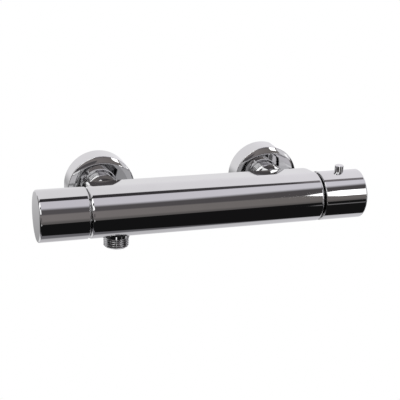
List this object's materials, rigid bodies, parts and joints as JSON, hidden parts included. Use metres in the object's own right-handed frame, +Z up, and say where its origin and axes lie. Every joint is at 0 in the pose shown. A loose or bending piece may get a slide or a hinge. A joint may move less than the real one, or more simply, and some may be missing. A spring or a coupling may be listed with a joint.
{
  "type": "thermostatic bar shower valve",
  "caption": "Chromed thermostatic bar mixer on wall unions with round escutcheons, a flow handle, a temperature handle with an override button and a threaded hose outlet below.",
  "frame": {"origin": "on the finished wall, midway between the two supplies, at the height of the bar's axis", "axes": "+X along the bar towards the temperature handle, +Y into the wall, +Z up"},
  "size_m": [0.278, 0.106, 0.0588],
  "materials": {
    "chrome": "polished chrome plate",
    "brass": "machined",
    "rubber": "moulded rubber",
    "ceramic": "lapped ceramic",
    "white_plastic": "moulded acetal",
    "grey_plastic": "moulded acetal",
    "tan_plastic": "moulded polysulfone",
    "copper": "drawn copper",
    "steel": "stainless steel"
  },
  "bodies": {
    "valve": {"valve_body": "chrome", "outlet_nipple": "chrome", "outlet_gasket": "rubber", "inlet_nipple_left": "brass", "inlet_nipple_right": "brass", "union_nut_left": "chrome", "union_nut_right": "chrome", "filter_washer_left": "rubber", "filter_washer_right": "rubber", "check_housing_left": "white_plastic", "check_housing_right": "white_plastic", "check_spring_left": "steel", "check_spring_right": "steel", "s_union_left": "chrome", "s_union_right": "chrome", "escutcheon_left": "chrome", "escutcheon_right": "chrome", "flow_headwork": "brass", "headwork_orings": "rubber", "flow_seal_ring": "rubber", "fixed_disc": "ceramic", "thermostat_sleeve": "brass", "thermostat_head": "brass", "cartridge_ring_nut": "brass", "cartridge_orings": "rubber", "return_spring": "steel", "stop_ring": "white_plastic"},
    "flow_control": {"flow_handle": "chrome", "flow_grub_screw": "steel", "flow_spindle": "brass", "spindle_clip": "steel", "turning_disc": "ceramic"},
    "temperature_control": {"temperature_handle": "chrome", "temperature_grub_screw": "steel", "adjusting_spindle": "brass", "button_spring": "steel"},
    "button": {"override_button": "chrome"},
    "mixer": {"mixing_shuttle": "tan_plastic", "wax_element": "copper", "adjusting_nut": "brass"},
    "check_left": {"check_poppet_left": "grey_plastic"},
    "check_right": {"check_poppet_right": "grey_plastic"}
  },
  "joints": [
    {"name": "flow_turn", "type": "hinge", "parent": "valve", "child": "flow_control", "pos_m": [-0.099, -0.073, 0], "axis": [-1, 0, 0], "range_deg": [0, 90]},
    {"name": "temperature_turn", "type": "hinge", "parent": "valve", "child": "temperature_control", "pos_m": [0.099, -0.073, 0], "axis": [1, 0, 0], "range_deg": [-205, 0], "deforming": ["return_spring"]},
    {"name": "button_press", "type": "slide", "parent": "temperature_control", "child": "button", "axis": [0, 0, -1], "range_m": [0, 0.003], "stiffness_N_per_m": 800, "springref_m": -0.002, "deforming": ["button_spring"]},
    {"name": "mixer_slide", "type": "slide", "parent": "valve", "child": "mixer", "axis": [1, 0, 0], "range_m": [-0.00115, 0], "deforming": ["return_spring"]},
    {"name": "check_left_lift", "type": "slide", "parent": "valve", "child": "check_left", "axis": [0, -1, 0], "range_m": [0, 0.0025], "stiffness_N_per_m": 60, "springref_m": -0.002, "deforming": ["check_spring_left"]},
    {"name": "check_right_lift", "type": "slide", "parent": "valve", "child": "check_right", "axis": [0, -1, 0], "range_m": [0, 0.0025], "stiffness_N_per_m": 60, "springref_m": -0.002, "deforming": ["check_spring_right"]}
  ],
  "couplings": [
    {"joint": "mixer_slide", "follows": "temperature_turn", "m_per_rad": 0.00032}
  ]
}
